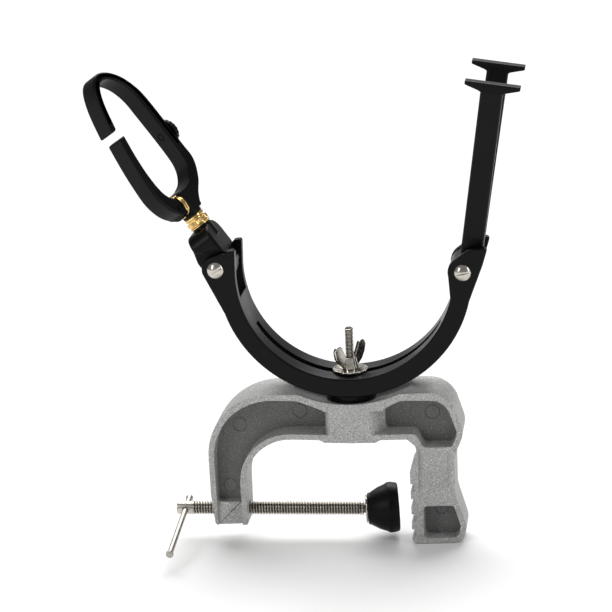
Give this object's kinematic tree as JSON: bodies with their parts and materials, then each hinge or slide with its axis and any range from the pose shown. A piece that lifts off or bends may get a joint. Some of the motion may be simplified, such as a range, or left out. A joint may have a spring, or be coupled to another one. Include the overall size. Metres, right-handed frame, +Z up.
{
  "type": "clamp-on cradle stand",
  "caption": "C-clamp stand with a swivelling arched cradle that carries a folding two-prong rest at one end and a folding yoke with a split, hinged ring at the other.",
  "frame": {"origin": "on the fixed jaw's face, on the land level with the middle of the jaw", "axes": "+X the way the clamp screw pushes, +Y the object's back, +Z up"},
  "size_m": [0.3021, 0.114, 0.3377],
  "materials": {
    "cast_aluminium": "fine-grained cast, satin",
    "black_nylon": "satin moulded nylon",
    "bright_nickel": "bright nickel plate",
    "brass": "turned, bright",
    "black_rubber": "matte"
  },
  "bodies": {
    "clamp": {"clamp_frame": "cast_aluminium", "cradle_bolt": "bright_nickel"},
    "spindle_carrier": {"pad_washer": "bright_nickel"},
    "spindle": {"clamp_screw": "bright_nickel"},
    "bar": {"tommy_bar": "bright_nickel"},
    "pad": {"pad_cup": "bright_nickel", "clamp_pad": "black_rubber"},
    "seat": {"swivel_seat": "black_nylon"},
    "cradle": {"cradle_arch": "black_nylon", "left_hinge_screw": "bright_nickel", "left_hinge_barrel": "bright_nickel", "right_hinge_screw": "bright_nickel", "right_hinge_barrel": "bright_nickel"},
    "nut_carrier": {"cradle_washer": "bright_nickel"},
    "nut": {"wing_nut": "bright_nickel"},
    "yoke": {"ring_yoke": "black_nylon", "stem_bushing": "brass", "stem_pin": "bright_nickel"},
    "ring": {"ring_hook": "black_nylon", "gate_pin": "bright_nickel", "gate_bushing": "brass"},
    "gate": {"ring_gate": "black_nylon"},
    "tip_carrier": {"pressure_tip": "black_nylon"},
    "knob": {"thumb_knob": "black_nylon", "knob_screw": "bright_nickel"},
    "fork": {"rest_fork": "black_nylon"}
  },
  "joints": [
    {"name": "spindle_feed", "type": "slide", "parent": "clamp", "child": "spindle_carrier", "axis": [1, 0, 0], "range_m": [-0.08, 0.0075]},
    {"name": "spindle_turn", "type": "hinge", "parent": "spindle_carrier", "child": "spindle", "pos_m": [0, 0, -0.004], "axis": [1, 0, 0], "range_deg": [-14500, 1450]},
    {"name": "pad_tilt", "type": "hinge", "parent": "spindle_carrier", "child": "pad", "pos_m": [-0.026, 0, -0.004], "axis": [0, 0, 1], "range_deg": [-17, 0]},
    {"name": "tommy_bar_slide", "type": "slide", "parent": "spindle", "child": "bar", "axis": [0, -0.9917, -0.1288], "range_m": [-0.06, 0.0065]},
    {"name": "cradle_swivel", "type": "hinge", "parent": "clamp", "child": "seat", "pos_m": [-0.041, 0, 0.08], "axis": [0, 0, 1], "continuous": true},
    {"name": "cradle_tilt", "type": "hinge", "parent": "seat", "child": "cradle", "pos_m": [-0.041, 0, 0.173], "axis": [0, -1, 0], "range_deg": [-50, 50]},
    {"name": "wing_nut_lift", "type": "slide", "parent": "clamp", "child": "nut_carrier", "axis": [0, 0, 1], "range_m": [0, 0.018]},
    {"name": "wing_nut_turn", "type": "hinge", "parent": "nut_carrier", "child": "nut", "pos_m": [-0.041, 0, 0.1], "axis": [0, 0, 1], "range_deg": [-1, 6500]},
    {"name": "ring_arm_fold", "type": "hinge", "parent": "cradle", "child": "yoke", "pos_m": [-0.1295, 0, 0.177], "axis": [0, 1, 0], "range_deg": [-80, 0]},
    {"name": "ring_swivel", "type": "hinge", "parent": "yoke", "child": "ring", "pos_m": [-0.14398, 0, 0.20832], "axis": [-0.5807, 0, 0.8141], "continuous": true},
    {"name": "gate_swing", "type": "hinge", "parent": "ring", "child": "gate", "pos_m": [-0.15269, 0, 0.22053], "axis": [0.4071, 0.866, 0.2904], "range_deg": [0, 100]},
    {"name": "knob_feed", "type": "slide", "parent": "ring", "child": "tip_carrier", "axis": [-0.4071, -0.866, -0.2904], "range_m": [-0.006, 0]},
    {"name": "knob_turn", "type": "hinge", "parent": "tip_carrier", "child": "knob", "pos_m": [-0.17853, 0, 0.25675], "axis": [-0.4071, -0.866, -0.2904], "range_deg": [-2750, 10]},
    {"name": "fork_fold", "type": "hinge", "parent": "cradle", "child": "fork", "pos_m": [0.0407, 0, 0.1736], "axis": [0, 1, 0], "range_deg": [-95, 0]}
  ],
  "couplings": [
    {"joint": "spindle_turn", "follows": "spindle_feed", "rad_per_m": 3141.6},
    {"joint": "wing_nut_turn", "follows": "wing_nut_lift", "rad_per_m": 6283.2},
    {"joint": "knob_turn", "follows": "knob_feed", "rad_per_m": 7854}
  ]
}
